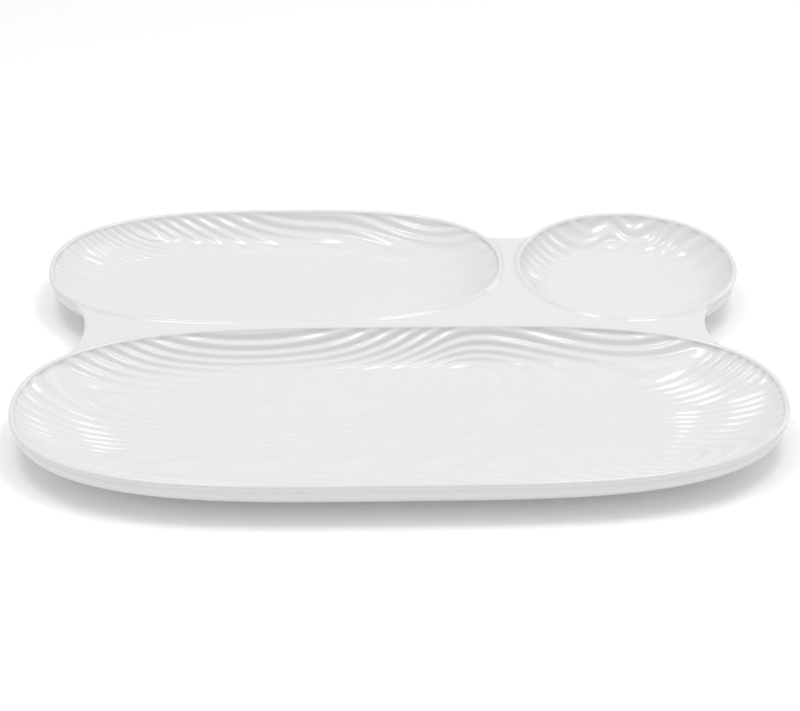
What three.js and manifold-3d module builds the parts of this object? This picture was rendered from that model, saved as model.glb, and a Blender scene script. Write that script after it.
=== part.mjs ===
// A chip and dip server: one casting of glazed porcelain with a long chip dish, a medium oval dish and a
// round dip dish. A flat web joins the three rims, and each dish stands on its own low foot ring.
//
// The casting is divided along its natural creases, so that each section is a mesh of its own. Units are
// millimetres and +Z is up. The origin is on the table, under the middle of the server. The chip dish is
// at -Y, and the other two are at +Y.

import * as THREE from "three";
import { mergeVertices } from "three/addons/utils/BufferGeometryUtils.js";
import Module from "manifold-3d";

// ---------------------------------------------------------------- driving dimensions

const RIM_Z = 24; // height of all three rims above the table
const GAP = 0.3; // hairline between two sections

// Each dish: the middle of its outline and its half length and half width. The two powers say how full the
// outline is. With both at 2 it is an ellipse. A higher one flattens the long sides, or the ends.
const DISHES = {
  chip: { x: 0, y: -67.6, a: 200, b: 78.3, sides: 3.77, ends: 2.18, steps: 80 },
  medium: { x: -66.4, y: 80.1, a: 127.7, b: 65.6, sides: 2.97, ends: 2.22, steps: 60 },
  dip: { x: 130.1, y: 75.7, a: 62.3, b: 62.3, sides: 2, ends: 2, steps: 48 },
};

// The dish's section. An inset is measured inwards from the outline's long side, a drop down from the rim.
const LIP_R = 1.5; // half the thickness of the rounded lip
const BEAD_DROP = 3.6; // the lip's bead ends here, and the outer wall begins
const BEAD_STEP = 0.6; // how far the outer wall stands in from the bead
const INNER_RUN = 21; // the inner wall's width, from the lip to the floor
const OUTER_RUN = 26; // the outer wall's width, from the bead to the underside
const WELL_DROP = 15.2; // where the inner wall meets the floor
const FLOOR_THICK = 4.4;
const FLOOR_SAG = 1.2; // how much lower the floor and the underside are in the middle
const UNDERSIDE_DROP = WELL_DROP + FLOOR_THICK;
const WALL_STEPS = 6;
const LIP_STEPS = 6;

// The foot ring, which tapers down to a narrow standing face.
const FOOT_INSET = 30; // the ring's outer edge, where it meets the underside
const FOOT_WIDTH = 5.5; // the ring's width there
const FOOT_TAPER = 1; // how far each side of the ring leans in on its way down
const FOOT_ROUND = 0.6; // chamfer at the standing edge
const FOOT_BAND = 1.5; // level stretch of the underside inside the ring

// The web: a level plate just below the rims. Its three free edges are hollow arcs, each given by the
// middle and radius of its circle, the direction of its deepest point, and its sweep to each side of it.
const WEB_DROP = 1.6;
const WEB_THICK = 3.6;
const WEB_EDGE_R = 1.2;
const WEB_EDGES = {
  left: { x: -228.8, y: 12.4, r: 60, facing: 0, before: 37, after: 37 },
  right: { x: 211.7, y: 9.8, r: 44.8, facing: 180, before: 34, after: 44 },
  back: { x: 66.5, y: 181, r: 70, facing: -90, before: 18, after: 18 },
};

const GLAZE = { color: 0xf2f2f1, roughness: 0.12, metalness: 0 };
const BISQUE = { color: 0xe6e2da, roughness: 0.75, metalness: 0 };

// ---------------------------------------------------------------- oval outlines

class Oval extends THREE.Curve {
  constructor(a, b, dish) {
    super();
    Object.assign(this, { a, b, sides: dish.sides, ends: dish.ends });
  }

  getPoint(t, target = new THREE.Vector3()) {
    const turn = 2 * Math.PI * t;
    const c = Math.cos(turn);
    const s = Math.sin(turn);
    const x = Math.sign(c) * Math.abs(c) ** (2 / this.sides);
    const y = Math.sign(s) * Math.abs(s) ** (2 / this.ends);
    return target.set(this.a * x, this.b * y, 0);
  }
}

// The places along a dish's outline that divide its length into equal steps, each from 0 to 1.
function evenPlaces(dish) {
  const outline = new Oval(dish.a, dish.b, dish);
  outline.arcLengthDivisions = 2000;
  const places = [];
  for (let i = 0; i <= dish.steps; i++) places.push(outline.getUtoTmapping(i / dish.steps));
  return places;
}

// The oval at an inset. It keeps its distance to the outline up to an edge, and scales down from there on.
function insetOval(dish, inset, edge) {
  const even = Math.min(inset, edge);
  const scale = (dish.b - inset) / (dish.b - even);
  return new Oval(scale * (dish.a - even), dish.b - inset, dish);
}

const dishRing = (dish, inset) => insetOval(dish, inset, 2 * LIP_R);

// The foot ring's oval follows the underside at its outer edge, and keeps its width all the way round.
function footRing(dish, inset) {
  const outer = dishRing(dish, FOOT_INSET);
  return new Oval(outer.a - (inset - FOOT_INSET), dish.b - inset, dish);
}

// Turns a section into a solid. A lathe makes the faces, and each of its round rings is then drawn out
// into the oval that belongs to the same inset.
function loft(dish, section, ovalAt = dishRing) {
  const profile = section.map(([inset, z]) => new THREE.Vector2(dish.b - inset, z));
  const lathe = new THREE.LatheGeometry(profile, dish.steps);
  const places = evenPlaces(dish);
  const position = lathe.getAttribute("position");
  const at = new THREE.Vector3();
  for (let i = 0; i < position.count; i++) {
    const [inset, z] = section[i % section.length];
    const step = Math.floor(i / section.length) % dish.steps;
    ovalAt(dish, inset).getPoint(places[step], at);
    position.setXYZ(i, dish.x + at.x, dish.y + at.y, z);
  }
  return lathe;
}

// ---------------------------------------------------------------- sections

const drop = (distance) => RIM_Z - distance;

// A quarter of an ellipse as [inset, z] points. It starts level at its foot and rises ever more steeply.
function risingWall(inset, z, run, rise) {
  const points = [];
  for (let i = 0; i <= WALL_STEPS; i++) {
    const turn = (Math.PI / 2) * (i / WALL_STEPS);
    points.push([inset - run * Math.sin(turn), z + rise * (1 - Math.cos(turn))]);
  }
  return points;
}

// The outside, from the middle of the underside out and up to the lip's outer side.
function outerSurface(dish, grow = 0) {
  const bandEnd = FOOT_INSET + FOOT_WIDTH + FOOT_BAND;
  const wallFoot = OUTER_RUN + BEAD_STEP;
  const wall = risingWall(wallFoot, drop(UNDERSIDE_DROP), OUTER_RUN, UNDERSIDE_DROP - BEAD_DROP);
  return [
    [dish.b, drop(UNDERSIDE_DROP + FLOOR_SAG)],
    [bandEnd, drop(UNDERSIDE_DROP)],
    ...wall.map(([inset, z]) => [inset - grow, z]),
    [BEAD_STEP / 4 - grow, drop(BEAD_DROP - 2 * BEAD_STEP)],
    [-grow, drop(LIP_R)],
  ];
}

// The rounded top of the lip, from its outer side over to its inner side.
function lipSurface() {
  const points = [];
  for (let i = 1; i < LIP_STEPS; i++) {
    const turn = Math.PI * (i / LIP_STEPS);
    points.push([LIP_R - LIP_R * Math.cos(turn), drop(LIP_R - LIP_R * Math.sin(turn))]);
  }
  return points;
}

// The inside, from the lip down the wall to the middle of the floor.
function wellSurface(dish) {
  const wall = risingWall(2 * LIP_R + INNER_RUN, drop(WELL_DROP), INNER_RUN, WELL_DROP - LIP_R);
  return [...wall.reverse(), [dish.b, drop(WELL_DROP + FLOOR_SAG)]];
}

function dishSolid(dish) {
  return loft(dish, [...outerSurface(dish), ...lipSurface(), ...wellSurface(dish)]);
}

function footRingSolid(dish) {
  const top = drop(UNDERSIDE_DROP) - GAP;
  const outer = FOOT_INSET;
  const inner = FOOT_INSET + FOOT_WIDTH;
  const section = [
    [inner, top],
    [inner - FOOT_TAPER, FOOT_ROUND],
    [inner - FOOT_TAPER - FOOT_ROUND, 0],
    [outer + FOOT_TAPER + FOOT_ROUND, 0],
    [outer + FOOT_TAPER, FOOT_ROUND],
    [outer, top],
    [inner, top],
  ];
  return loft(dish, section, footRing);
}

// Everything that a dish takes up, its hollow included, and a hairline more. It trims the web.
function dishCutter(dish) {
  const clearOfRim = RIM_Z + 5;
  return loft(dish, [...outerSurface(dish, GAP), [-GAP, clearOfRim], [dish.b, clearOfRim]]);
}

// ---------------------------------------------------------------- the web

function hollowEdge(shape, edge) {
  const start = THREE.MathUtils.degToRad(edge.facing + edge.before);
  const end = THREE.MathUtils.degToRad(edge.facing - edge.after);
  shape.absarc(edge.x, edge.y, edge.r, start, end, true);
}

// Between its hollow edges, the uncut plate's outline runs through the middle of each dish.
function webOutline() {
  const shape = new THREE.Shape();
  hollowEdge(shape, WEB_EDGES.left);
  shape.lineTo(DISHES.chip.x, DISHES.chip.y);
  hollowEdge(shape, WEB_EDGES.right);
  shape.lineTo(DISHES.dip.x, DISHES.dip.y);
  hollowEdge(shape, WEB_EDGES.back);
  shape.lineTo(DISHES.medium.x, DISHES.medium.y);
  return shape;
}

function webPlate() {
  const plate = new THREE.ExtrudeGeometry(webOutline(), {
    depth: WEB_THICK - 2 * WEB_EDGE_R,
    bevelThickness: WEB_EDGE_R,
    bevelSize: WEB_EDGE_R,
    bevelOffset: -WEB_EDGE_R,
    bevelSegments: 2,
    curveSegments: 16,
  });
  return plate.translate(0, 0, drop(WEB_DROP + WEB_THICK) + WEB_EDGE_R);
}

// ---------------------------------------------------------------- solids and meshes

const wasm = await Module();
wasm.setup();

function toSolid(geometry) {
  const bare = geometry.index ? geometry.toNonIndexed() : geometry.clone();
  bare.deleteAttribute("normal");
  bare.deleteAttribute("uv");
  const merged = mergeVertices(bare, 1e-3);
  return new wasm.Manifold(
    new wasm.Mesh({
      numProp: 3,
      vertProperties: merged.getAttribute("position").array,
      triVerts: new Uint32Array(merged.index.array),
    }),
  );
}

function toGeometry(solid) {
  const { vertProperties, triVerts } = solid.getMesh();
  const geometry = new THREE.BufferGeometry();
  geometry.setAttribute("position", new THREE.BufferAttribute(vertProperties, 3));
  geometry.setIndex(new THREE.BufferAttribute(triVerts, 1));
  return geometry;
}

function trimmedWeb() {
  const plate = toSolid(webPlate());
  const cutters = Object.values(DISHES).map((dish) => toSolid(dishCutter(dish)));
  return toGeometry(cutters.reduce((web, cutter) => web.subtract(cutter), plate));
}

function named(name, geometry, look) {
  const mesh = new THREE.Mesh(geometry, new THREE.MeshStandardMaterial(look));
  mesh.name = name;
  return mesh;
}

const server = new THREE.Group();
for (const [name, dish] of Object.entries(DISHES)) {
  server.add(named(`${name}_dish`, dishSolid(dish), GLAZE));
  server.add(named(`${name}_foot_ring`, footRingSolid(dish), BISQUE));
}
server.add(named("bridge_web", trimmedWeb(), GLAZE));

export default server;
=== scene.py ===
"""A chip and dip server of glazed porcelain: one long dish, one medium dish and one round dip dish,
joined by a web just below their rims. Wood grain is carved in low relief into all three wells.

Sizes are in millimetres until a mesh is made, which is in metres.
"""

import logging
import math
from dataclasses import dataclass
from enum import Enum

import bmesh
import bpy
import numpy as np
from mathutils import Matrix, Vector
from mathutils.geometry import delaunay_2d_cdt


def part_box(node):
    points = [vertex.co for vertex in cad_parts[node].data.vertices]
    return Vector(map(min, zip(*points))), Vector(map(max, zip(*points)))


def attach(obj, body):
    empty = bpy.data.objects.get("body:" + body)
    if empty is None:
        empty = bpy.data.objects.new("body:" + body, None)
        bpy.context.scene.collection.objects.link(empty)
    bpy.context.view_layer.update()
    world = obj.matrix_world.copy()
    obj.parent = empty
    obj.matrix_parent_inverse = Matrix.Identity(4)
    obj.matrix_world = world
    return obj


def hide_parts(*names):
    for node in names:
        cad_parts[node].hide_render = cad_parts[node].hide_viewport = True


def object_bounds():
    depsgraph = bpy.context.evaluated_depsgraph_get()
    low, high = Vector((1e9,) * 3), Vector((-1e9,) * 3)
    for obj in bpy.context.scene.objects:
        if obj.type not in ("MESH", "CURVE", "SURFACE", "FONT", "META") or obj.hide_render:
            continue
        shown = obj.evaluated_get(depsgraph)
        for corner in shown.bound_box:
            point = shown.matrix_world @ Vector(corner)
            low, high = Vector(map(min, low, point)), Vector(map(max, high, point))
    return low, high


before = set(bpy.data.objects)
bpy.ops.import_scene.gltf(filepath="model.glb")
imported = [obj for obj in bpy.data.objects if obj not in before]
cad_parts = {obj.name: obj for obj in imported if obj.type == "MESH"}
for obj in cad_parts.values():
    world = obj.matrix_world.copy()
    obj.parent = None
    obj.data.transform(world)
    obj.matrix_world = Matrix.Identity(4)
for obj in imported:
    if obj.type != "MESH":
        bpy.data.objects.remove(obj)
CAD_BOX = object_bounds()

MM = 0.001
LIP_RADIUS = 1.5
GRAIN_DEPTH = "grain_depth"
GRAIN_CREST = "grain_crest"
POINTS_AT_ONCE = 2000
log = logging.getLogger("server")


class Slot(Enum):
    """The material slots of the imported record."""

    GLAZE = "glaze"
    BISQUE = "bisque"


# ------------------------------------------------------------------------------------ shared helpers


def linear_colour(code: str) -> tuple[float, float, float, float]:
    """Turns an sRGB hex code into the linear colour that shaders read.

    Args:
        code: a colour such as "#f4f3f2".

    Returns:
        Red, green, blue and an alpha of one.
    """
    channels = [int(code[start : start + 2], 16) / 255 for start in (1, 3, 5)]
    linear = [c / 12.92 if c <= 0.04045 else ((c + 0.055) / 1.055) ** 2.4 for c in channels]
    return (*linear, 1.0)


def add_node(tree: bpy.types.NodeTree, kind: str, inputs: dict | None = None, **settings) -> bpy.types.Node:
    """Adds one node with its settings and links.

    Args:
        tree: the tree that gets the node.
        kind: the node's type name.
        inputs: for each input, by name or number, a plain value or the output socket that feeds it.
        settings: properties of the node itself.

    Returns:
        The new node.
    """
    node = tree.nodes.new(kind)
    for name, value in settings.items():
        setattr(node, name, value)
    for socket, value in (inputs or {}).items():
        if isinstance(value, bpy.types.NodeSocket):
            tree.links.new(value, node.inputs[socket])
        else:
            node.inputs[socket].default_value = value
    return node


def add_piece(name: str, vertices: np.ndarray, faces: list) -> bpy.types.Object:
    """Makes a smooth mesh object at the origin.

    Args:
        name: the piece's name.
        vertices: one row of x, y, z for each vertex, in millimetres.
        faces: vertex numbers, going round each face as seen from outside.

    Returns:
        The new object, already in the scene.
    """
    mesh = bpy.data.meshes.new(name)
    mesh.from_pydata((vertices * MM).tolist(), [], faces)
    mesh.shade_smooth()
    piece = bpy.data.objects.new(name, mesh)
    bpy.context.scene.collection.objects.link(piece)
    return piece


def settle(piece: bpy.types.Object, modifier: bpy.types.Modifier) -> None:
    """Turns the result of a piece's modifier into its plain mesh, and removes the modifier.

    Args:
        piece: the object that has the modifier.
        modifier: the modifier.
    """
    evaluated = piece.evaluated_get(bpy.context.evaluated_depsgraph_get())
    result = bpy.data.meshes.new_from_object(evaluated)
    piece.modifiers.remove(modifier)
    piece.data = result
    result.name = piece.name


def run_tree(piece: bpy.types.Object, tree: bpy.types.NodeTree, values: dict) -> None:
    """Runs a Geometry Nodes tree on a piece and keeps its result.

    Args:
        piece: the object whose mesh goes in and is replaced by what comes out.
        tree: the tree to run.
        values: a value for each of the tree's named inputs.
    """
    modifier = piece.modifiers.new(tree.name, "NODES")
    modifier.node_group = tree
    for item in tree.interface.items_tree:
        if item.in_out == "INPUT" and item.name in values:
            modifier[item.identifier] = values[item.name]
    settle(piece, modifier)


def new_tree(name: str, sizes: dict[str, float]) -> tuple[bpy.types.NodeTree, dict, bpy.types.Node]:
    """Starts a Geometry Nodes tree with a mesh, named sizes and a finish as its inputs.

    Args:
        name: the tree's name.
        sizes: each size's name and its usual value.

    Returns:
        The tree, its input sockets by name, and its output node.
    """
    tree = bpy.data.node_groups.new(name, "GeometryNodeTree")
    tree.interface.new_socket("Mesh", in_out="INPUT", socket_type="NodeSocketGeometry")
    for size, usual in sizes.items():
        tree.interface.new_socket(size, in_out="INPUT", socket_type="NodeSocketFloat").default_value = usual
    tree.interface.new_socket("Finish", in_out="INPUT", socket_type="NodeSocketMaterial")
    tree.interface.new_socket("Mesh", in_out="OUTPUT", socket_type="NodeSocketGeometry")
    outputs = add_node(tree, "NodeGroupInput").outputs
    given = {socket.name: socket for socket in outputs if socket.name}
    return tree, given, add_node(tree, "NodeGroupOutput")


def finish_tree(
    tree: bpy.types.NodeTree,
    shape: bpy.types.NodeSocket,
    finish: bpy.types.NodeSocket,
    end: bpy.types.Node,
) -> None:
    """Ends a tree in Realize Instances and Set Material.

    Args:
        tree: the tree to end.
        shape: the socket with the finished shape.
        finish: the socket with its material.
        end: the tree's output node.
    """
    real = add_node(tree, "GeometryNodeRealizeInstances", {"Geometry": shape})
    dressed = add_node(tree, "GeometryNodeSetMaterial", {"Geometry": real.outputs[0], "Material": finish})
    tree.links.new(dressed.outputs[0], end.inputs[0])


def polyline_distance(points: np.ndarray, line: np.ndarray, closed: bool = True) -> np.ndarray:
    """The distance from each point to a polyline, worked out for a block of points at a time.

    Args:
        points: one row of x and y for each point.
        line: the polyline's corners.
        closed: whether its last corner joins its first.

    Returns:
        One distance for each point.
    """
    starts = line if closed else line[:-1]
    along = (np.roll(line, -1, axis=0) if closed else line[1:]) - starts
    nearest = []
    for first in range(0, len(points), POINTS_AT_ONCE):
        to_point = points[first : first + POINTS_AT_ONCE, None, :] - starts[None, :, :]
        share = np.clip((to_point * along).sum(axis=2) / (along**2).sum(axis=1), 0, 1)
        nearest.append(np.linalg.norm(to_point - share[:, :, None] * along, axis=2).min(axis=1))
    return np.concatenate(nearest)


def evenly(section: np.ndarray, step: float) -> np.ndarray:
    """Divides a section's polyline into equal steps.

    Args:
        section: rows of inset and height.
        step: the longest step.

    Returns:
        Rows of inset and height, with the first and last kept.
    """
    lengths = np.concatenate([[0], np.cumsum(np.linalg.norm(np.diff(section, axis=0), axis=1))])
    wanted = np.linspace(0, lengths[-1], math.ceil(lengths[-1] / step) + 1)
    return np.stack([np.interp(wanted, lengths, section[:, k]) for k in (0, 1)], axis=1)


# ------------------------------------------------------------------------------------------ finishes


@dataclass(frozen=True)
class GlazedPorcelain:
    """White porcelain, slip cast, dipped in clear glaze and fired.

    The glaze is a thin layer of glass on a bright white body. It gives weak but sharp highlights. The white
    is painted a shade greyer in the troughs of the relief, as painted shade. Its surface has the slow, very
    shallow ripple of a glaze that ran and set.

    The body's white drifts over clouds about as wide as a hand's palm, the gloss over patches as wide as a
    thumb, and the ripple is a few millimetres from crest to crest, as on real glaze.
    """

    name: str = "glazed_porcelain"
    crest_white: str = "#ebebeb"
    shaded_trough_white: str = "#e6e3e5"
    warm_white: str = "#eae9ea"
    index: float = 1.5
    smoothest: float = 0.07
    dullest: float = 0.13
    cloud_size: float = 55.0
    sheen_size: float = 18.0
    sheen_range: tuple[float, float] = (0.3, 0.7)
    ripple_size: float = 7.0
    ripple_height: float = 0.012

    def make(self) -> bpy.types.Material:
        """Builds the material and returns it."""
        material = bpy.data.materials.new(self.name)
        material.use_nodes = True
        tree = material.node_tree
        tree.nodes.clear()
        place = add_node(tree, "ShaderNodeTexCoord").outputs["Object"]
        crest = add_node(tree, "ShaderNodeAttribute", attribute_name=GRAIN_CREST).outputs["Fac"]
        clouds = add_node(
            tree,
            "ShaderNodeTexNoise",
            {"Vector": place, "Scale": 1 / (self.cloud_size * MM), "Detail": 3.0, "Roughness": 0.45},
        ).outputs["Fac"]
        body = add_node(
            tree,
            "ShaderNodeMix",
            {"Factor": clouds, "A": linear_colour(self.crest_white), "B": linear_colour(self.warm_white)},
            data_type="RGBA",
        )
        # painted shade: the white is mixed greyer where the carved relief dips into a trough
        trough_shade = add_node(tree, "ShaderNodeMath", {0: 0.0, 1: crest}, operation="SUBTRACT", use_clamp=True)
        colour = add_node(
            tree,
            "ShaderNodeMix",
            {
                "Factor": trough_shade.outputs[0],
                "A": body.outputs["Result"],
                "B": linear_colour(self.shaded_trough_white),
            },
            data_type="RGBA",
        )
        sheen = add_node(
            tree,
            "ShaderNodeTexNoise",
            {"Vector": place, "Scale": 1 / (self.sheen_size * MM), "Detail": 2.0},
        )
        roughness = add_node(
            tree,
            "ShaderNodeMapRange",
            {
                "Value": sheen.outputs["Fac"],
                "From Min": self.sheen_range[0],
                "From Max": self.sheen_range[1],
                "To Min": self.smoothest,
                "To Max": self.dullest,
            },
        )
        ripple = add_node(
            tree,
            "ShaderNodeTexNoise",
            {"Vector": place, "Scale": 1 / (self.ripple_size * MM), "Detail": 1.0, "Roughness": 0.3},
        )
        bump = add_node(
            tree,
            "ShaderNodeBump",
            {"Height": ripple.outputs["Fac"], "Strength": 1.0, "Distance": self.ripple_height * MM},
        )
        shader = add_node(
            tree,
            "ShaderNodeBsdfPrincipled",
            {
                "Base Color": colour.outputs["Result"],
                "Roughness": roughness.outputs["Result"],
                "Normal": bump.outputs["Normal"],
                "IOR": self.index,
                "Metallic": 0.0,
            },
        )
        add_node(tree, "ShaderNodeOutputMaterial", {"Surface": shader.outputs[0]})
        return material


@dataclass(frozen=True)
class BareFoot:
    """The foot rings' porcelain, glazed on its flanks and wiped bare where it stands.

    Fired porcelain without glaze is a slightly warmer, matte white, with a grain as fine as sugar and the
    grey rubbing of shelves and tables. The grain is drawn several times coarser than the real one, which
    would be too fine to show.
    """

    name: str = "unglazed_porcelain"
    glazed_white: str = "#ebeae9"
    bare_white: str = "#e9e4db"
    rubbed_grey: str = "#cfcac2"
    index: float = 1.5
    bare_up_to: float = 0.9
    glazed_from: float = 1.4
    bare_roughness: float = 0.7
    glazed_roughness: float = 0.1
    rubbing_size: float = 9.0
    rubbing_range: tuple[float, float] = (0.52, 0.72)
    grain_size: float = 0.6
    grain_height: float = 0.02

    def make(self) -> bpy.types.Material:
        """Builds the material and returns it."""
        material = bpy.data.materials.new(self.name)
        material.use_nodes = True
        tree = material.node_tree
        tree.nodes.clear()
        place = add_node(tree, "ShaderNodeTexCoord").outputs["Object"]
        height = add_node(tree, "ShaderNodeSeparateXYZ", {0: place}).outputs["Z"]
        glazed = add_node(
            tree,
            "ShaderNodeMapRange",
            {"Value": height, "From Min": self.bare_up_to * MM, "From Max": self.glazed_from * MM},
            interpolation_type="SMOOTHSTEP",
        ).outputs["Result"]
        rubbing = add_node(
            tree,
            "ShaderNodeTexNoise",
            {"Vector": place, "Scale": 1 / (self.rubbing_size * MM), "Detail": 4.0},
        ).outputs["Fac"]
        rubbed = add_node(
            tree,
            "ShaderNodeMapRange",
            {"Value": rubbing, "From Min": self.rubbing_range[0], "From Max": self.rubbing_range[1]},
        ).outputs["Result"]
        bare = add_node(
            tree,
            "ShaderNodeMix",
            {"Factor": rubbed, "A": linear_colour(self.bare_white), "B": linear_colour(self.rubbed_grey)},
            data_type="RGBA",
        )
        colour = add_node(
            tree,
            "ShaderNodeMix",
            {"Factor": glazed, "A": bare.outputs["Result"], "B": linear_colour(self.glazed_white)},
            data_type="RGBA",
        )
        roughness = add_node(
            tree,
            "ShaderNodeMapRange",
            {"Value": glazed, "To Min": self.bare_roughness, "To Max": self.glazed_roughness},
        )
        grain = add_node(
            tree,
            "ShaderNodeTexNoise",
            {"Vector": place, "Scale": 1 / (self.grain_size * MM), "Detail": 2.0},
        )
        bareness = add_node(tree, "ShaderNodeMath", {0: 1.0, 1: glazed}, operation="SUBTRACT")
        bump = add_node(
            tree,
            "ShaderNodeBump",
            {
                "Height": grain.outputs["Fac"],
                "Strength": bareness.outputs[0],
                "Distance": self.grain_height * MM,
            },
        )
        shader = add_node(
            tree,
            "ShaderNodeBsdfPrincipled",
            {
                "Base Color": colour.outputs["Result"],
                "Roughness": roughness.outputs["Result"],
                "Normal": bump.outputs["Normal"],
                "IOR": self.index,
            },
        )
        add_node(tree, "ShaderNodeOutputMaterial", {"Surface": shader.outputs[0]})
        return material


# --------------------------------------------------------------------------- the outline and section


@dataclass(frozen=True)
class OvalOutline:
    """A dish's outline from above.

    Two powers say how full it is: an ellipse has both at two, and a higher power flattens the long sides
    or the ends. The spokes are the points of the dish's largest rings.
    """

    x: float
    y: float
    half_length: float
    half_width: float
    sides: float
    ends: float
    spokes: int
    quarter_steps: int = 4000

    @classmethod
    def of_node(cls, node: str, sides: float, ends: float, spokes: int) -> "OvalOutline":
        """Takes the outline's place and size from its node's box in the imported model.

        Args:
            node: the dish's node.
            sides: the power that flattens the long sides.
            ends: the power that flattens the ends.
            spokes: how many points the largest rings have.

        Returns:
            The outline.
        """
        low, high = (np.array(corner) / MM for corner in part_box(node))
        middle, half = (low + high) / 2, (high - low) / 2
        return cls(middle[0], middle[1], half[0], half[1], sides, ends, spokes)

    def oval(self, half_length: float, half_width: float, turns: np.ndarray) -> np.ndarray:
        """Points of an oval of this outline's kind and middle.

        Args:
            half_length: half the oval's length.
            half_width: half its width.
            turns: a turn in radians for each point.

        Returns:
            One row of x and y for each turn.
        """
        c, s = np.cos(turns), np.sin(turns)
        x = np.sign(c) * np.abs(c) ** (2 / self.sides)
        y = np.sign(s) * np.abs(s) ** (2 / self.ends)
        return np.stack([self.x + half_length * x, self.y + half_width * y], axis=1)

    def even_turns(self) -> np.ndarray:
        """The turns that divide the outline into equal steps.

        Returns:
            One turn in radians for each spoke.
        """
        quarter = (math.pi / 4) * (1 - np.cos(np.linspace(0, math.pi, self.quarter_steps + 1)))
        turns = np.concatenate([quarter[:-1] + k * math.pi / 2 for k in range(4)] + [[2 * math.pi]])
        points = self.oval(self.half_length, self.half_width, turns)
        lengths = np.concatenate([[0], np.cumsum(np.linalg.norm(np.diff(points, axis=0), axis=1))])
        wanted = np.arange(self.spokes) / self.spokes * lengths[-1]
        return np.interp(wanted, lengths, turns)

    def ring(self, inset: float, every: int = 1) -> np.ndarray:
        """The outline moved inwards.

        Args:
            inset: how far in, measured on the long side. The lip keeps its width all the way round, and
                further in the ring is a scaled copy.
            every: take every spoke, every second one and so on.

        Returns:
            One row of x and y for each spoke.
        """
        even = min(inset, 2 * LIP_RADIUS)
        scale = (self.half_width - inset) / (self.half_width - even)
        turns = self.even_turns()[::every]
        return self.oval(scale * (self.half_length - even), self.half_width - inset, turns)

    def distance(self, points: np.ndarray) -> np.ndarray:
        """How far each point lies outside the outline.

        Args:
            points: one row of x and y for each point.

        Returns:
            One distance for each point, negative inside the outline.
        """
        nearest = polyline_distance(points, self.ring(0.0))
        x = np.abs(points[:, 0] - self.x) / self.half_length
        y = np.abs(points[:, 1] - self.y) / self.half_width
        return np.where(x**self.sides + y**self.ends < 1, -nearest, nearest)


@dataclass(frozen=True)
class DishSection:
    """The section that the three dishes share. Insets run inwards from the rim, drops down from it."""

    rim: float
    bead_drop: float = 3.6
    bead_step: float = 0.6
    bead_turn: int = 13
    hollow_depth: float = 0.03
    hollow_height: float = 0.35
    inner_run: float = 21.0
    outer_run: float = 26.0
    well_drop: float = 15.2
    floor_thickness: float = 4.4
    floor_sag: float = 1.2
    band_end: float = 37.0
    bowl_power: float = 2.4
    bowl_share: float = 0.8
    floor_coarseness: float = 1.6
    wall_points: int = 200
    floor_points: int = 100

    def wall(self, inset: float, height: float, run: float, rise: float) -> np.ndarray:
        """A quarter of an ellipse, level at its foot and ever steeper, as rows of inset and height."""
        turn = np.linspace(0, math.pi / 2, self.wall_points)
        return np.stack([inset - run * np.sin(turn), height + rise * (1 - np.cos(turn))], axis=1)

    def sagging(self, start: float, end: float, height: float) -> np.ndarray:
        """A nearly level stretch that ends lower in the middle.

        Args:
            start: the inset of its outer end.
            end: the inset of the middle.
            height: its height at the outer end.

        Returns:
            Rows of inset and height.
        """
        share = np.linspace(0, 1, self.floor_points)
        sag = self.floor_sag * share**2 * (3 - 2 * share)
        return np.stack([start + (end - start) * share, height - sag], axis=1)

    def well(self, half_width: float, step: float) -> np.ndarray:
        """From the lip's inner side down the wall and over the floor to the middle.

        Args:
            half_width: the inset of the middle.
            step: the longest step on the wall. The floor takes longer ones.

        Returns:
            Rows of inset and height.
        """
        foot = 2 * LIP_RADIUS + self.inner_run
        floor = self.rim - self.well_drop
        wall = self.wall(foot, floor, self.inner_run, self.well_drop - LIP_RADIUS)[::-1]
        share = (foot - wall[:, 0]) / self.inner_run
        bowl = floor + (self.well_drop - LIP_RADIUS) * share**self.bowl_power
        wall[:, 1] += self.bowl_share * (bowl - wall[:, 1])
        level = self.sagging(foot, half_width, floor)
        return np.concatenate([evenly(wall, step)[:-1], evenly(level, self.floor_coarseness * step)])

    def lip(self, steps: int) -> np.ndarray:
        """The lip's round top, from its outer side to just short of its inner side.

        Args:
            steps: how many steps the half circle has.

        Returns:
            Rows of inset and height.
        """
        turn = math.pi * np.arange(steps) / steps
        inset = LIP_RADIUS * (1 - np.cos(turn))
        return np.stack([inset, self.rim - LIP_RADIUS * (1 - np.sin(turn))], axis=1)

    def bead(self) -> np.ndarray:
        """The lip's outer side from the top of the outer wall upwards, a soft hollow and then a round.

        Returns:
            Rows of inset and height.
        """
        turn = np.radians(np.arange(4 * self.bead_turn, 0, -self.bead_turn))
        round_side = np.stack(
            [LIP_RADIUS * (1 - np.cos(turn)), self.rim - LIP_RADIUS * (1 + np.sin(turn))], axis=1
        )
        hollow = [self.bead_step + self.hollow_depth, self.rim - self.bead_drop + self.hollow_height]
        return np.concatenate([[hollow], round_side])

    def underside(self, half_width: float, level_step: float, wall_step: float) -> np.ndarray:
        """From the middle of the underside out, up the outer wall to the bead.

        Args:
            half_width: the inset of the middle.
            level_step: the longest step on the nearly level stretch.
            wall_step: the longest step on the outer wall.

        Returns:
            Rows of inset and height.
        """
        height = self.rim - self.well_drop - self.floor_thickness
        foot = self.outer_run + self.bead_step
        middle = self.sagging(self.band_end, half_width, height)[::-1]
        rise = self.well_drop + self.floor_thickness - self.bead_drop
        wall = self.wall(foot, height, self.outer_run, rise)
        return np.concatenate([evenly(middle, level_step)[:-1], evenly(wall, wall_step)])


# ---------------------------------------------------------------------------------- the carved grain


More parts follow.
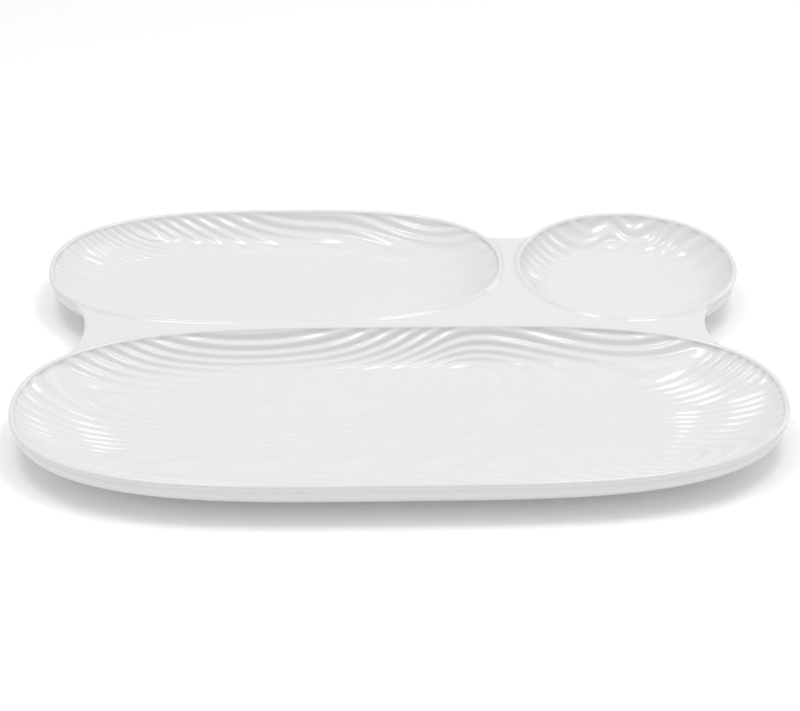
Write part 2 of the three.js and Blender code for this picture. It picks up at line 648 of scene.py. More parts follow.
@dataclass(frozen=True)
class Knot:
    """A knot in the carved grain: a nest of long oval ridges, and the lines that flow round it.

    Its eye is measured from the dish's middle. The draw is how many times longer than wide the ovals are,
    and the lean is in degrees. The depth says how far the knot spreads before its neighbours take over.
    Lines further off than the reach run straight past it.
    """

    x: float
    y: float
    draw: float
    lean: float = 0.0
    depth: float = 0.0
    reach: float = 20.0


@dataclass(frozen=True)
class Swell:
    """A place where the grain lines rise, as a bell of this height and width.

    It begins at one distance behind the dish's middle and has its full height from another.
    """

    x: float
    height: float
    width: float
    start: float
    full: float


@dataclass(frozen=True)
class WoodGrain:
    """Wood grain carved into a dish, as ridges a set pitch apart that follow the lines of its knots.

    Its depth begins at the smooth rim's inset and is full a little further in. Between two more insets it
    fades from the wall's depth to the floor's. The blend is the width over which the lines of two knots
    melt into each other. The growth says how fast lines far along the grain still count as further from a
    knot, so that they close round it in long points. The wander is a slow drift of all lines.
    """

    knots: tuple[Knot, ...]
    swells: tuple[Swell, ...]
    pitch: float
    wall_depth: float
    floor_depth: float
    blend: float = 8.0
    growth: float = 0.0
    growth_from: float = 12.0
    wander: float = 1.6
    wander_size: float = 60.0
    wander_seed: float = 3.0
    smooth_rim: float = 2.6
    full_from: float = 3.6
    wall_until: float = 17.0
    floor_from: float = 27.0

    def depth_at(self, inset: float) -> float:
        """The relief's depth at an inset: none on the lip, full on the wall, faint on the floor.

        Args:
            inset: how far in from the outline, on the long side.

        Returns:
            The depth from crest to trough.
        """
        rise = np.interp(inset, [self.smooth_rim, self.full_from], [0, 1])
        full = np.interp(inset, [self.wall_until, self.floor_from], [self.wall_depth, self.floor_depth])
        return float(rise**2 * (3 - 2 * rise) * full)

    def distance_to(
        self, tree: bpy.types.NodeTree, knot: Knot, place: bpy.types.NodeSocket, outline: OvalOutline
    ) -> bpy.types.NodeSocket:
        """Adds the nodes that measure each point's oval distance to one knot.

        Args:
            tree: the tree that gets the nodes.
            knot: the knot.
            place: the socket with each point's bent place.
            outline: the dish's outline, whose middle the knot is measured from.

        Returns:
            The socket with each point's distance.
        """
        eye = ((outline.x + knot.x) * MM, (outline.y + knot.y) * MM, 0.0)
        offset = add_node(tree, "ShaderNodeVectorMath", {0: place, 1: eye}, operation="SUBTRACT")
        turned = add_node(
            tree,
            "ShaderNodeVectorRotate",
            {"Vector": offset.outputs[0], "Angle": -math.radians(knot.lean)},
            rotation_type="Z_AXIS",
        )
        across = add_node(tree, "ShaderNodeSeparateXYZ", {0: turned.outputs[0]}).outputs
        share = add_node(
            tree, "ShaderNodeMath", {0: across["X"], 1: knot.draw * knot.reach * MM}, operation="DIVIDE"
        )
        limited = add_node(tree, "ShaderNodeMath", {0: share.outputs[0]}, operation="TANH")
        pressed = add_node(
            tree, "ShaderNodeMath", {0: limited.outputs[0], 1: knot.reach * MM}, operation="MULTIPLY"
        )
        oval = add_node(tree, "ShaderNodeCombineXYZ", {"X": pressed.outputs[0], "Y": across["Y"]})
        length = add_node(tree, "ShaderNodeVectorMath", {0: oval.outputs[0]}, operation="LENGTH")
        spread = add_node(
            tree, "ShaderNodeMath", {0: length.outputs["Value"], 1: knot.depth * MM}, operation="SUBTRACT"
        )
        along = add_node(tree, "ShaderNodeMath", {0: across["X"], 1: self.growth}, operation="MULTIPLY")
        rounded = add_node(
            tree, "ShaderNodeCombineXYZ", {"X": along.outputs[0], "Y": self.growth * self.growth_from * MM}
        )
        grown = add_node(tree, "ShaderNodeVectorMath", {0: rounded.outputs[0]}, operation="LENGTH")
        whole = add_node(
            tree, "ShaderNodeMath", {0: spread.outputs[0], 1: grown.outputs["Value"]}, operation="ADD"
        )
        return whole.outputs[0]

    def bent(
        self, tree: bpy.types.NodeTree, place: bpy.types.NodeSocket, outline: OvalOutline
    ) -> bpy.types.NodeSocket:
        """Adds the nodes that bend the plan so that straight lines follow the swells.

        Args:
            tree: the tree that gets the nodes.
            place: the socket with each point's place from above.
            outline: the dish's outline, whose middle the swells are measured from.

        Returns:
            The socket with each point's bent place.
        """
        parts = add_node(tree, "ShaderNodeSeparateXYZ", {0: place}).outputs
        rises = []
        for swell in self.swells:
            away = add_node(
                tree, "ShaderNodeMath", {0: parts["X"], 1: (outline.x + swell.x) * MM}, operation="SUBTRACT"
            )
            share = add_node(
                tree, "ShaderNodeMath", {0: away.outputs[0], 1: swell.width * MM}, operation="DIVIDE"
            )
            squared = add_node(
                tree, "ShaderNodeMath", {0: share.outputs[0], 1: share.outputs[0]}, operation="MULTIPLY"
            )
            falling = add_node(
                tree, "ShaderNodeMath", {0: squared.outputs[0], 1: -1.0}, operation="MULTIPLY"
            )
            bell = add_node(tree, "ShaderNodeMath", {0: falling.outputs[0]}, operation="EXPONENT")
            height = add_node(
                tree,
                "ShaderNodeMapRange",
                {
                    "Value": parts["Y"],
                    "From Min": (outline.y + swell.start) * MM,
                    "From Max": (outline.y + swell.full) * MM,
                    "To Max": swell.height * MM,
                },
                interpolation_type="SMOOTHSTEP",
            )
            lifted = add_node(
                tree,
                "ShaderNodeMath",
                {0: bell.outputs[0], 1: height.outputs["Result"]},
                operation="MULTIPLY",
            )
            rises.append(lifted.outputs[0])
        rise = rises[0]
        for other in rises[1:]:
            rise = add_node(tree, "ShaderNodeMath", {0: rise, 1: other}, operation="ADD").outputs[0]
        level = add_node(tree, "ShaderNodeMath", {0: parts["Y"], 1: rise}, operation="SUBTRACT")
        return add_node(tree, "ShaderNodeCombineXYZ", {"X": parts["X"], "Y": level.outputs[0]}).outputs[0]

    def build_tree(self, name: str, outline: OvalOutline) -> bpy.types.NodeTree:
        """Builds the tree that carves the grain.

        Args:
            name: the tree's name.
            outline: the dish's outline, whose middle the knots are measured from.

        Returns:
            A tree whose named inputs are the sizes of the ridges.
        """
        sizes = {"Pitch": self.pitch * MM, "Blend": self.blend * MM, "Wander": self.wander * MM}
        tree, given, end = new_tree(name, sizes)
        position = add_node(tree, "GeometryNodeInputPosition").outputs[0]
        flat = add_node(tree, "ShaderNodeVectorMath", {0: position, 1: (1, 1, 0)}, operation="MULTIPLY")
        noise = add_node(
            tree,
            "ShaderNodeTexNoise",
            {
                "Vector": flat.outputs[0],
                "W": self.wander_seed,
                "Scale": 1 / (self.wander_size * MM),
                "Detail": 0.0,
            },
            noise_dimensions="4D",
        )
        centred = add_node(tree, "ShaderNodeMath", {0: noise.outputs["Fac"], 1: 0.5}, operation="SUBTRACT")
        wander = add_node(
            tree, "ShaderNodeMath", {0: centred.outputs[0], 1: given["Wander"]}, operation="MULTIPLY"
        )
        place = self.bent(tree, flat.outputs[0], outline)
        lines = self.distance_to(tree, self.knots[0], place, outline)
        for knot in self.knots[1:]:
            other = self.distance_to(tree, knot, place, outline)
            nearer = add_node(
                tree, "ShaderNodeMath", {0: lines, 1: other, 2: given["Blend"]}, operation="SMOOTH_MIN"
            )
            lines = nearer.outputs[0]
        wavering = add_node(tree, "ShaderNodeMath", {0: lines, 1: wander.outputs[0]}, operation="ADD")
        count = add_node(
            tree, "ShaderNodeMath", {0: wavering.outputs[0], 1: given["Pitch"]}, operation="DIVIDE"
        )
        turn = add_node(tree, "ShaderNodeMath", {0: count.outputs[0], 1: math.tau}, operation="MULTIPLY")
        wave = add_node(tree, "ShaderNodeMath", {0: turn.outputs[0]}, operation="COSINE")
        depth = add_node(tree, "GeometryNodeInputNamedAttribute", {"Name": GRAIN_DEPTH}, data_type="FLOAT")
        half = add_node(tree, "ShaderNodeMath", {0: depth.outputs[0], 1: 0.5}, operation="MULTIPLY")
        height = add_node(
            tree, "ShaderNodeMath", {0: wave.outputs[0], 1: half.outputs[0]}, operation="MULTIPLY"
        )
        normal = add_node(tree, "GeometryNodeInputNormal").outputs[0]
        push = add_node(
            tree, "ShaderNodeVectorMath", {0: normal, "Scale": height.outputs[0]}, operation="SCALE"
        )
        carved = add_node(
            tree, "GeometryNodeSetPosition", {"Geometry": given["Mesh"], "Offset": push.outputs[0]}
        )
        share = add_node(
            tree, "ShaderNodeMath", {0: height.outputs[0], 1: self.wall_depth * MM}, operation="DIVIDE"
        )
        marked = add_node(
            tree,
            "GeometryNodeStoreNamedAttribute",
            {"Geometry": carved.outputs[0], "Name": GRAIN_CREST, "Value": share.outputs[0]},
            data_type="FLOAT",
            domain="POINT",
        )
        finish_tree(tree, marked.outputs[0], given["Finish"], end)
        return tree


# -------------------------------------------------------------------------------------------- dishes


def shell(rings: list[np.ndarray], first: np.ndarray, last: np.ndarray) -> tuple[np.ndarray, list]:
    """Joins rings of points into a closed shell.

    Args:
        rings: rows of x, y, z for each ring, from the middle of the underside outwards, over the rim and
            in to the middle of the floor. A ring has as many points as the last one, twice or half.
        first: the point that closes the underside.
        last: the point that closes the floor.

    Returns:
        The vertices, and the faces with their outer side outwards.
    """
    starts = np.cumsum([0] + [len(ring) for ring in rings])
    vertices = np.concatenate([*rings, first[None], last[None]])
    below, above = len(vertices) - 2, len(vertices) - 1
    faces = []
    for number in range(len(rings) - 1):
        a, b = starts[number], starts[number + 1]
        many, next_many = len(rings[number]), len(rings[number + 1])
        if many == next_many:
            j = np.arange(many)
            k = (j + 1) % many
            faces += np.stack([a + j, a + k, b + k, b + j], axis=1).tolist()
            continue
        j = np.arange(min(many, next_many))
        k = (j + 1) % len(j)
        near, between, far = 2 * j, 2 * j + 1, (2 * j + 2) % (2 * len(j))
        if many > next_many:
            triangles = [
                (a + near, a + between, b + j),
                (a + between, b + k, b + j),
                (a + between, a + far, b + k),
            ]
        else:
            triangles = [
                (a + j, b + between, b + near),
                (a + j, a + k, b + between),
                (a + k, b + far, b + between),
            ]
        for triangle in triangles:
            faces += np.stack(triangle, axis=1).tolist()
    j = np.arange(len(rings[0]))
    faces += np.stack([np.full(len(j), below), (j + 1) % len(j), j], axis=1).tolist()
    j = np.arange(len(rings[-1]))
    k = (j + 1) % len(j)
    faces += np.stack([np.full(len(j), above), starts[-2] + j, starts[-2] + k], axis=1).tolist()
    return vertices, faces


@dataclass
class Dish:
    """One dish: a rounded lip, a carved well and a plain underside, as one closed shell.

    The steps are the longest ones on the well's wall, on the level part of the underside and on the outer
    wall. The thinning is how many spokes the smallest rings may leave out at once.
    """

    name: str
    outline: OvalOutline
    section: DishSection
    grain: WoodGrain
    well_step: float
    level_step: float = 7.0
    wall_step: float = 1.0
    plain_from: float = 14.0
    lip_steps: int = 10
    widest_thinning: int = 32

    def rings(self, below: np.ndarray, well: np.ndarray) -> tuple[list[np.ndarray], list[float]]:
        """The shell's rings, and the relief's depth on each.

        Rings nearer the middle are shorter, so they take every second spoke, every fourth and so on. The
        plain underside takes half as many as the carved well.

        Args:
            below: the underside's section.
            well: the well's section.

        Returns:
            Rows of x, y and z for each ring, and one depth for each ring.
        """
        lip = np.concatenate([self.section.bead(), self.section.lip(self.lip_steps)])
        rows = [(inset, height, 2 if inset > self.plain_from else 1, 0.0) for inset, height in below]
        rows += [(inset, height, 1, 0.0) for inset, height in lip]
        rows += [(inset, height, 1, self.grain.depth_at(inset)) for inset, height in well]
        rings, depths = [], []
        for inset, height, every, depth in rows:
            share = (self.outline.half_width - inset) / self.outline.half_width
            thinned = 2 ** max(0, math.floor(math.log2(1 / share)))
            ring = self.outline.ring(inset, min(every * thinned, self.widest_thinning))
            rings.append(np.column_stack([ring, np.full(len(ring), height)]))
            depths.append(depth)
        return rings, depths

    def build(self, finish: bpy.types.Material) -> bpy.types.Object:
        """Makes the dish, carves its grain and dresses it.

        Args:
            finish: the glaze.

        Returns:
            The finished piece.
        """
        half_width = self.outline.half_width
        below = self.section.underside(half_width, self.level_step, self.wall_step)
        well = self.section.well(half_width, self.well_step)
        rings, depths = self.rings(below[1:], well[:-1])
        middle = np.array([self.outline.x, self.outline.y])
        vertices, faces = shell(rings, np.append(middle, below[0][1]), np.append(middle, well[-1][1]))
        piece = add_piece(self.name, vertices, faces)
        middle_depth = self.grain.depth_at(half_width)
        per_point = np.concatenate(
            [np.full(len(ring), depth) for ring, depth in zip(rings, depths)] + [[0.0, middle_depth]]
        )
        attribute = piece.data.attributes.new(GRAIN_DEPTH, "FLOAT", "POINT")
        attribute.data.foreach_set("value", (per_point * MM).astype(np.float32))
        tree = self.grain.build_tree(f"{self.name}_grain", self.outline)
        run_tree(piece, tree, {"Finish": finish})
        return piece


@dataclass
class FootRing:
    """The low ring that a dish stands on, swept along an oval of its own with one section throughout."""

    name: str
    outline: OvalOutline
    inset: float = 30.0
    top_width: float = 5.5
    standing_width: float = 3.0
    edge_round: float = 0.6
    height: float = 4.6
    round_steps: int = 4
    steps: int = 240

    def centre_line(self) -> np.ndarray:
        """The oval along the middle of the ring's width.

        Returns:
            Rows of x, y and z.
        """
        half_length = self.outline.half_length - 2 * LIP_RADIUS
        scale = (self.outline.half_width - self.inset) / (self.outline.half_width - 2 * LIP_RADIUS)
        middle = self.top_width / 2
        fine = OvalOutline(
            self.outline.x,
            self.outline.y,
            scale * half_length - middle,
            self.outline.half_width - self.inset - middle,
            self.outline.sides,
            self.outline.ends,
            self.steps,
        )
        line = fine.ring(0.0)
        return np.column_stack([line, np.full(len(line), self.height / 2)])

    def build_tree(self) -> bpy.types.NodeTree:
        """Builds the tree that sweeps a rounded section along the centre line.

        Returns:
            A tree whose named inputs are the section's sizes.
        """
        sizes = {
            "Height": self.height * MM,
            "Top width": self.top_width * MM,
            "Standing width": self.standing_width * MM,
            "Edge round": self.edge_round * MM,
        }
        tree, given, end = new_tree(f"{self.name}_sweep", sizes)
        path = add_node(tree, "GeometryNodeMeshToCurve", {"Mesh": given["Mesh"]})
        upright = add_node(tree, "GeometryNodeSetCurveNormal", {"Curve": path.outputs[0]}, mode="Z_UP")
        section = add_node(
            tree,
            "GeometryNodeCurvePrimitiveQuadrilateral",
            {
                "Height": given["Height"],
                "Bottom Width": given["Standing width"],
                "Top Width": given["Top width"],
                "Offset": 0.0,
            },
            mode="TRAPEZOID",
        )
        rounded = add_node(
            tree,
            "GeometryNodeFilletCurve",
            {
                "Curve": section.outputs[0],
                "Count": self.round_steps,
                "Radius": given["Edge round"],
                "Limit Radius": True,
            },
            mode="POLY",
        )
        swept = add_node(
            tree,
            "GeometryNodeCurveToMesh",
            {"Curve": upright.outputs[0], "Profile Curve": rounded.outputs[0]},
        )
        smooth = add_node(tree, "GeometryNodeSetShadeSmooth", {"Geometry": swept.outputs[0]})
        finish_tree(tree, smooth.outputs[0], given["Finish"], end)
        return tree

    def build(self, finish: bpy.types.Material) -> bpy.types.Object:
        """Makes the ring and dresses it.

        Args:
            finish: the foot's finish.

        Returns:
            The finished piece.
        """
        line = self.centre_line()
        mesh = bpy.data.meshes.new(self.name)
        edges = [(j, (j + 1) % len(line)) for j in range(len(line))]
        mesh.from_pydata((line * MM).tolist(), edges, [])
        piece = bpy.data.objects.new(self.name, mesh)
        bpy.context.scene.collection.objects.link(piece)
        run_tree(piece, self.build_tree(), {"Finish": finish})
        turn_outwards(piece)
        return piece


def turn_outwards(piece: bpy.types.Object) -> None:
    """Makes all faces of a closed piece point outwards.

    Args:
        piece: the piece, whose mesh is changed in place.
    """
    work = bmesh.new()
    work.from_mesh(piece.data)
    bmesh.ops.recalc_face_normals(work, faces=work.faces)
    if work.calc_volume(signed=True) < 0:
        bmesh.ops.reverse_faces(work, faces=work.faces)
    work.to_mesh(piece.data)
    work.free()


# ------------------------------------------------------------------------------------------- the web


@dataclass(frozen=True)
class HollowEdge:
    """A free edge of the web: an arc that curves into the plate from one dish to the next.

    The circle's middle is measured from the long dish's middle. Facing is the direction from it to the
    deepest point of the hollow, in degrees, and the two sweeps run on past both dishes' outlines. The
    fills say how far the web may fill the corner with the first dish and with the last.
    """

    x: float
    y: float
    radius: float
    facing: float
    before: float
    after: float
    first_fill: float = 2.5
    last_fill: float = 2.5


@dataclass
class BridgeWeb:
    """The level plate that joins the dishes, with rounded free edges and a fillet up to each lip.

    Its mesh has a line of points at each of the dish lines, which are distances out from a dish's outline,
    and at each of the edge lines, which are distances in from a free edge. A plain grid fills the rest.
    """

    dishes: tuple[OvalOutline, ...]
    hollows: tuple[HollowEdge, ...]
    rim: float
    name: str = "bridge_web_plate"
    drop: float = 1.6
    thickness: float = 3.6
    edge_round: float = 1.5
    blend_in: float = 0.6
    fillet: float = 4.0
    fillet_start: float = 2.38
    lip_touch: float = 0.44
    tuck: float = 1.6
    tuck_slope: float = 1.3
    cove: float = 4.0
    cove_drop: float = 2.7
    ray_turn: float = 0.5
    halvings: int = 24
    dish_lines: tuple[float, ...] = (-1.0, -0.44, -0.1, 0.25, 0.6, 0.95, 1.3, 1.65, 2.0, 2.38, 2.9, 3.8)
    edge_lines: tuple[float, ...] = (0.1, 0.25, 0.45, 0.7, 1.0, 1.5, 2.2)
    edge_overlap: float = 1.2
    grid_step: float = 2.0
    grid_clearance: float = 4.6
    outline_clearance: float = 0.06

    def distances(self, points: np.ndarray) -> np.ndarray:
        """How far each point lies outside each dish, one column for each dish."""
        return np.stack([dish.distance(points) for dish in self.dishes], axis=1)

    def free_edge(self, hollow: HollowEdge, start: int, end: int) -> np.ndarray:
        """The rounded outline of one hollow edge.

        Along each ray from the hollow's middle, the edge lies where the hollow and the dishes blend: on
        the arc, or a little inside it where a corner is filled.

        Args:
            hollow: the edge.
            start: number of the dish where the edge begins.
            end: number of the dish where it ends.

        Returns:
            Rows of x and y from the first dish to the second.
        """
        middle = np.array([self.dishes[0].x + hollow.x, self.dishes[0].y + hollow.y])
        first, last = hollow.facing + hollow.before, hollow.facing - hollow.after
        turns = np.radians(np.arange(first, last, -self.ray_turn))
        rays = np.stack([np.cos(turns), np.sin(turns)], axis=1)
        on_arc = middle + rays * hollow.radius
        nearer_first = self.dishes[start].distance(on_arc) < self.dishes[end].distance(on_arc)
        most = np.where(nearer_first, hollow.first_fill, hollow.last_fill)
        low, high = np.zeros(len(turns)), most.copy()

        def outside(fill: np.ndarray) -> np.ndarray:
            """How far the edge lies outside both dishes.

            Args:
                fill: how far each ray stops short of the arc.

            Returns:
                One distance for each ray.
            """
            points = middle + rays * (hollow.radius - fill)[:, None]
            gaps = [self.dishes[k].distance(points) for k in (start, end)]
            return np.minimum(*gaps) + self.blend_in

        kept = outside(high) > 0
        for _ in range(self.halvings):
            fill = (low + high) / 2
            gap = outside(fill)
            overlap = np.maximum(most - np.abs(fill - gap), 0) / most
            empty = np.minimum(fill, gap) - overlap**2 * most / 4 > 0
            low, high = np.where(empty, low, fill), np.where(empty, fill, high)
        points = middle + rays * (hollow.radius - low)[:, None]
        return points[kept]

    def seam(self, dish: OvalOutline, start: np.ndarray, end: np.ndarray) -> np.ndarray:
        """The web's hidden edge inside one dish's lip, clockwise from one free edge to the next.

        Args:
            dish: the dish's outline.
            start: where the first free edge ends.
            end: where the next free edge begins.

        Returns:
            One row of x and y for each spoke on the way.
        """
        ring = dish.ring(self.tuck)
        first = int(np.linalg.norm(ring - start, axis=1).argmin())
        last = int(np.linalg.norm(ring - end, axis=1).argmin())
        many = (first - last) % dish.spokes
        return ring[(first - np.arange(many + 1)) % dish.spokes]

    def plan(self) -> tuple[np.ndarray, list[np.ndarray]]:
        """The web from above.

        Returns:
            Its whole outline, and its free edges alone, as rows of x and y.
        """
        chip, medium, dip = range(3)
        routes = [(medium, chip), (chip, dip), (dip, medium)]
        edges = [self.free_edge(hollow, *route) for hollow, route in zip(self.hollows, routes)]
        parts = []
        for number, (edge, (_, dish)) in enumerate(zip(edges, routes)):
            following = edges[(number + 1) % len(edges)]
            parts += [edge, self.seam(self.dishes[dish], edge[-1], following[0])]
        return np.concatenate(parts), edges

    def inner_points(self, outline: np.ndarray, edges: list[np.ndarray]) -> np.ndarray:
        """Points inside the plan, close together where the surface curves.

        Args:
            outline: the web's whole outline.
            edges: its free edges.

        Returns:
            One row of x and y for each point.
        """
        found = []
        for number, dish in enumerate(self.dishes):
            for out in self.dish_lines:
                ring = dish.ring(-out)
                gaps = self.distances(ring)
                found.append(ring[gaps.argmin(axis=1) == number])
        for edge in edges:
            along = np.gradient(edge, axis=0)
            inward = np.stack([-along[:, 1], along[:, 0]], axis=1)
            inward /= np.linalg.norm(inward, axis=1)[:, None]
            for depth in self.edge_lines:
                offset = edge + inward * depth
                found.append(offset[self.distances(offset).min(axis=1) > -self.edge_overlap])
        spans = zip(outline.min(axis=0), outline.max(axis=0))
        grid = np.stack(np.meshgrid(*[np.arange(*span, self.grid_step) for span in spans]), axis=-1)
        grid = grid.reshape(-1, 2)
        grid = grid[self.distances(grid).min(axis=1) > self.grid_clearance]
        points = np.concatenate([*found, grid])
        clear = polyline_distance(points, outline) > self.outline_clearance
        return points[self.inside(points, outline) & clear]

    def inside(self, points: np.ndarray, outline: np.ndarray) -> np.ndarray:
        """Whether each point lies within a closed outline.

        Args:
            points: one row of x and y for each point.
            outline: the outline's corners.

        Returns:
            One answer for each point.
        """
        crossings = np.zeros(len(points), dtype=int)
        for (x1, y1), (x2, y2) in zip(outline, np.roll(outline, -1, axis=0)):
            if y1 == y2:
                continue
            spans = (points[:, 1] > min(y1, y2)) & (points[:, 1] <= max(y1, y2))
            crossings += spans & (points[:, 0] < x1 + (points[:, 1] - y1) * (x2 - x1) / (y2 - y1))
        return crossings % 2 == 1

    def rounding(self, edge_gap: np.ndarray) -> np.ndarray:
        """How far each side of the web has drawn back, at a distance from the nearest free edge."""
        into = np.clip(self.edge_round - edge_gap, 0, self.edge_round)
        return self.edge_round - np.sqrt(np.maximum(self.edge_round**2 - into**2, 0))

    def top_height(self, gaps: np.ndarray, edge_gap: np.ndarray) -> np.ndarray:
        """The height of the web's upper side, with a fillet up to each lip.

        Args:
            gaps: how far each point lies outside each dish, one column for each dish.
            edge_gap: how far it lies from the nearest free edge.

        Returns:
            One height for each point.
        """
        reach = np.clip(self.fillet_start - np.maximum(gaps, -self.lip_touch), 0, None)
        lift = self.fillet - np.sqrt(self.fillet**2 - reach**2)
        tucked = self.tuck_slope * np.clip(-self.lip_touch - gaps, 0, None)
        level = self.rim - self.drop - self.rounding(edge_gap)
        return level + lift.sum(axis=1) - tucked.sum(axis=1)

    def under_height(self, gaps: np.ndarray, edge_gap: np.ndarray) -> np.ndarray:
        """The height of the web's underside, with a cove down to each dish's outer wall.

        Args:
            gaps: how far each point lies outside each dish, one column for each dish.
            edge_gap: how far it lies from the nearest free edge.

        Returns:
            One height for each point.
        """
        share = np.clip((self.cove - gaps) / (self.cove + self.tuck), 0, 1)
        rise = self.rounding(edge_gap)
        cove = (self.cove_drop * share**3).sum(axis=1)
        return self.rim - self.drop - self.thickness + rise - cove * (1 - rise / self.edge_round)

    def build(self, finish: bpy.types.Material) -> bpy.types.Object:
        """Makes the web and dresses it.

        Args:
            finish: the glaze.

        Returns:
            The finished piece.
        """
        outline, edges = self.plan()
        points = np.concatenate([outline, self.inner_points(outline, edges)])
        border = [(j, (j + 1) % len(outline)) for j in range(len(outline))]
        inner_only, tolerance = 1, 1e-5
        flat, _, triangles, *_ = delaunay_2d_cdt(
            [Vector(point) for point in points], border, [], inner_only, tolerance
        )
        flat = np.array([tuple(point) for point in flat])
        gaps = self.distances(flat)
        edge_gap = np.min([polyline_distance(flat, edge, closed=False) for edge in edges], axis=0)
        top = np.column_stack([flat, self.top_height(gaps, edge_gap)])
        under = np.column_stack([flat, self.under_height(gaps, edge_gap)])
        many = len(flat)
        faces = [tuple(face) for face in triangles]
        sides = {(face[k], face[(k + 1) % 3]) for face in faces for k in range(3)}
        walls = [(many + a, many + b, b, a) for a, b in sides if (b, a) not in sides]
        faces += [tuple(many + corner for corner in reversed(face)) for face in triangles]
        piece = add_piece(self.name, np.concatenate([top, under]), faces + sorted(walls))
        piece.data.materials.append(finish)
        return piece


# -------------------------------------------------------------------------------------------- studio


@dataclass(frozen=True)
class Softbox:
    """A rectangular lamp that points at the server. Its place is in metres from the server's middle."""

    name: str
    place: tuple[float, float, float]
    width: float
    height: float
    power: float


@dataclass
class Studio:
    """A pale floor, soft light from all round and softboxes, and the camera.

    The floor's size and the camera's distance are in metres. The camera's azimuth and elevation are in
    degrees, and its rise is a shift of the picture in the frame.
    """

    softboxes: tuple[Softbox, ...]
    floor_white: str = "#fbfbfb"
    floor_roughness: float = 0.9
    floor_glow: float = 0.08
    room_white: str = "#fafafc"
    room_light: float = 0.52
    floor_size: float = 12.0
    floor_gap: float = 0.1
    lens: float = 111.6
    sensor: float = 36.0
    azimuth: float = -1.2
    elevation: float = 31.95
    distance: float = 1.2718
    rise: float = 0.0561

    def add_floor(self) -> None:
        """Makes the floor, which isn't part of the server, a hairline below its feet."""
        half, height = self.floor_size / 2, -self.floor_gap * MM
        corners = [(-half, -half), (half, -half), (half, half), (-half, half)]
        mesh = bpy.data.meshes.new("studio_floor")
        mesh.from_pydata([(x, y, height) for x, y in corners], [], [(0, 1, 2, 3)])
        floor = bpy.data.objects.new("studio_floor", mesh)
        bpy.context.scene.collection.objects.link(floor)
        material = bpy.data.materials.new("white_paper_sweep")
        material.use_nodes = True
        tree = material.node_tree
        tree.nodes.clear()
        white = linear_colour(self.floor_white)
        shader = add_node(
            tree,
            "ShaderNodeBsdfPrincipled",
            {
                "Base Color": white,
                "Roughness": self.floor_roughness,
                "Specular IOR Level": 0.0,
                "Emission Color": white,
                "Emission Strength": self.floor_glow,
            },
        )
        add_node(tree, "ShaderNodeOutputMaterial", {"Surface": shader.outputs[0]})
        mesh.materials.append(material)

    def add_light(self, middle: Vector) -> None:
        """Lights the room, and places the softboxes round the server's middle.

        Args:
            middle: the server's middle.
        """
        world = bpy.data.worlds.new("studio_room")
        world.use_nodes = True
        background = world.node_tree.nodes["Background"]
        background.inputs["Color"].default_value = linear_colour(self.room_white)
        background.inputs["Strength"].default_value = self.room_light
        bpy.context.scene.world = world
        for box in self.softboxes:
            lamp = bpy.data.lights.new(box.name, "AREA")
            lamp.shape = "RECTANGLE"
            lamp.size, lamp.size_y, lamp.energy = box.width, box.height, box.power
            holder = bpy.data.objects.new(box.name, lamp)
            holder.location = middle + Vector(box.place)
            holder.rotation_euler = (middle - holder.location).to_track_quat("-Z", "Y").to_euler()
            bpy.context.scene.collection.objects.link(holder)

    def add_camera(self, target: Vector) -> None:
        """Points the camera at a place on the server.

        Args:
            target: the place.
        """
        turn, lift = math.radians(self.azimuth), math.radians(self.elevation)
        back = Vector((math.sin(turn) * math.cos(lift), -math.cos(turn) * math.cos(lift), math.sin(lift)))
        data = bpy.data.cameras.new("camera")
        data.lens, data.sensor_width, data.shift_y = self.lens, self.sensor, self.rise
        camera = bpy.data.objects.new("camera", data)
        camera.location = target + back * self.distance
        camera.rotation_euler = (-back).to_track_quat("-Z", "Y").to_euler()
        bpy.context.scene.collection.objects.link(camera)
        bpy.context.scene.camera = camera


# --------------------------------------------------------------------------------------- the server


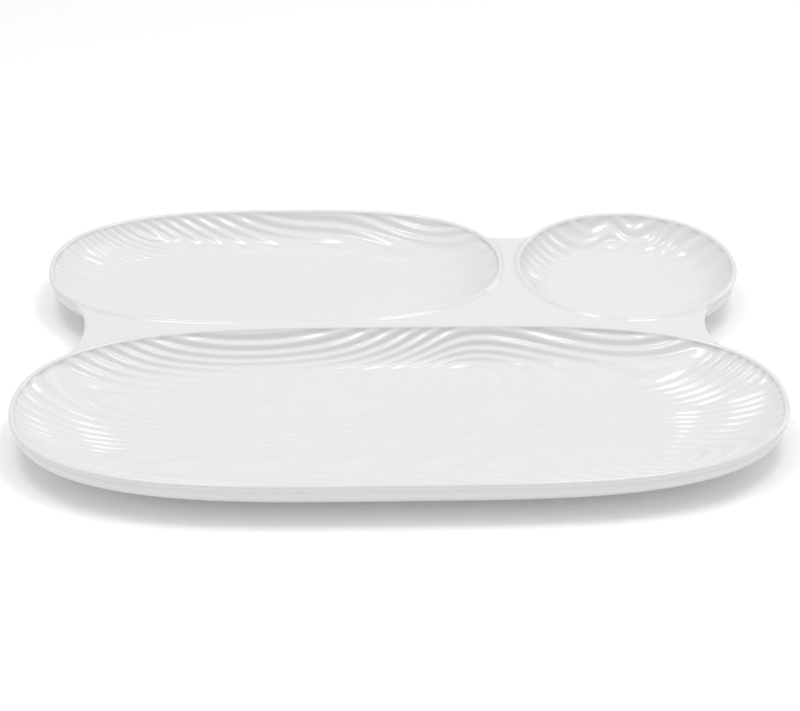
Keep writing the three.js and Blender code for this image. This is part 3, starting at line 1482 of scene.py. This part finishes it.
class ChipAndDipServer:
    """The whole server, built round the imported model, with its three grains and its web."""

    def __init__(self) -> None:
        """Takes the outlines and the rim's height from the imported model."""
        self.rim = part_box("chip_dish")[1][2] / MM
        self.chip = OvalOutline.of_node("chip_dish", sides=3.77, ends=2.18, spokes=960)
        self.medium = OvalOutline.of_node("medium_dish", sides=2.97, ends=2.22, spokes=768)
        self.dip = OvalOutline.of_node("dip_dish", sides=2.0, ends=2.0, spokes=512)
        self.glaze = GlazedPorcelain().make()
        self.bare_foot = BareFoot().make()

    def hand_over(self, piece: bpy.types.Object, node: str) -> None:
        """Attaches a finished piece to its body, hides the imported part that it stands for, and reports
        it.

        Args:
            piece: the finished piece.
            node: the node that it stands for.
        """
        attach(piece, "root")
        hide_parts(node)
        triangles = sum(len(face.vertices) - 2 for face in piece.data.polygons)
        log.info("%s: %d triangles, stands for %s", piece.name, triangles, node)

    def build_dishes(self) -> None:
        """Builds the three dishes with their grain."""
        section = DishSection(rim=self.rim)
        chip_grain = WoodGrain(
            knots=(
                Knot(-100.0, 18.0, draw=2.9, reach=13.0),
                Knot(32.0, 35.0, draw=2.9, reach=12.0),
                Knot(136.0, -36.0, draw=2.7, depth=-6.0, reach=13.0),
            ),
            swells=(
                Swell(-230.0, 34.0, 80.0, start=-20.0, full=60.0),
                Swell(57.0, 15.0, 60.0, start=30.0, full=62.0),
                Swell(200.0, 15.0, 100.0, start=-60.0, full=10.0),
                Swell(240.0, 26.0, 56.0, start=-10.0, full=60.0),
            ),
            pitch=3.8,
            wall_depth=1.2,
            floor_depth=0.65,
            growth=0.09,
        )
        medium_grain = WoodGrain(
            knots=(
                Knot(-79.0, 51.0, draw=4.4, lean=-8.0, reach=18.0),
                Knot(20.0, -10.0, draw=3.6, lean=-9.0, reach=14.0),
            ),
            swells=(Swell(45.0, 9.0, 38.0, start=-10.0, full=45.0),),
            pitch=3.3,
            wall_depth=0.75,
            floor_depth=0.1,
            growth=0.05,
        )
        dip_grain = WoodGrain(
            knots=(
                Knot(0.0, 110.0, draw=2.2, lean=-8.0, reach=40.0),
                Knot(-30.0, -20.0, draw=1.8, lean=12.0, reach=30.0),
            ),
            swells=(
                Swell(-80.0, 22.0, 34.0, start=-40.0, full=20.0),
                Swell(-4.0, 7.0, 9.0, start=10.0, full=50.0),
                Swell(36.0, 7.0, 16.0, start=0.0, full=45.0),
            ),
            pitch=6.2,
            wall_depth=0.85,
            floor_depth=0.1,
        )
        plans = [
            ("chip_dish", self.chip, chip_grain, 0.75),
            ("medium_dish", self.medium, medium_grain, 0.5),
            ("dip_dish", self.dip, dip_grain, 0.8),
        ]
        for node, outline, grain, step in plans:
            dish = Dish(f"carved_{node}", outline, section, grain, step)
            self.hand_over(dish.build(self.glaze), node)

    def build_foot_rings(self) -> None:
        """Builds the ring under each dish."""
        for dish, outline in (("chip", self.chip), ("medium", self.medium), ("dip", self.dip)):
            ring = FootRing(f"{dish}_standing_ring", outline)
            self.hand_over(ring.build(self.bare_foot), f"{dish}_foot_ring")

    def build_web(self) -> None:
        """Builds the plate between the dishes."""
        hollows = (
            HollowEdge(-228.8, 80.0, 60.0, facing=0.0, before=45.0, after=45.0, first_fill=7.0),
            HollowEdge(211.7, 77.4, 44.8, facing=180.0, before=45.0, after=55.0),
            HollowEdge(66.5, 248.6, 70.0, facing=-90.0, before=24.0, after=24.0),
        )
        web = BridgeWeb((self.chip, self.medium, self.dip), hollows, self.rim)
        self.hand_over(web.build(self.glaze), "bridge_web")


def main() -> None:
    """Builds the server and its studio, in order."""
    logging.basicConfig(level=logging.INFO, format="%(message)s")
    bpy.context.scene.view_settings.view_transform = "Standard"
    server = ChipAndDipServer()
    server.build_dishes()
    server.build_foot_rings()
    server.build_web()
    middle = (CAD_BOX[0] + CAD_BOX[1]) / 2
    softboxes = (
        Softbox("top_softbox", (0.0, -0.1, 1.45), 1.5, 1.2, 5.6),
        Softbox("overhead_left", (-0.34, -0.05, 1.25), 0.36, 0.34, 2.4),
        Softbox("overhead_right", (0.34, -0.05, 1.25), 0.36, 0.34, 2.9),
        Softbox("rear_left", (-1.2, 0.9, 0.7), 0.3, 0.8, 0.8),
        Softbox("rear_right", (1.2, 0.9, 0.7), 0.3, 0.8, 2.6),
    )
    studio = Studio(softboxes)
    studio.add_floor()
    studio.add_light(middle)
    chip_low, chip_high = (Vector(corner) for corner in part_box("chip_dish"))
    chip_middle = (chip_low + chip_high) / 2
    studio.add_camera(Vector((chip_middle.x, chip_middle.y, chip_high.z)))


if __name__ == "__main__":
    main()
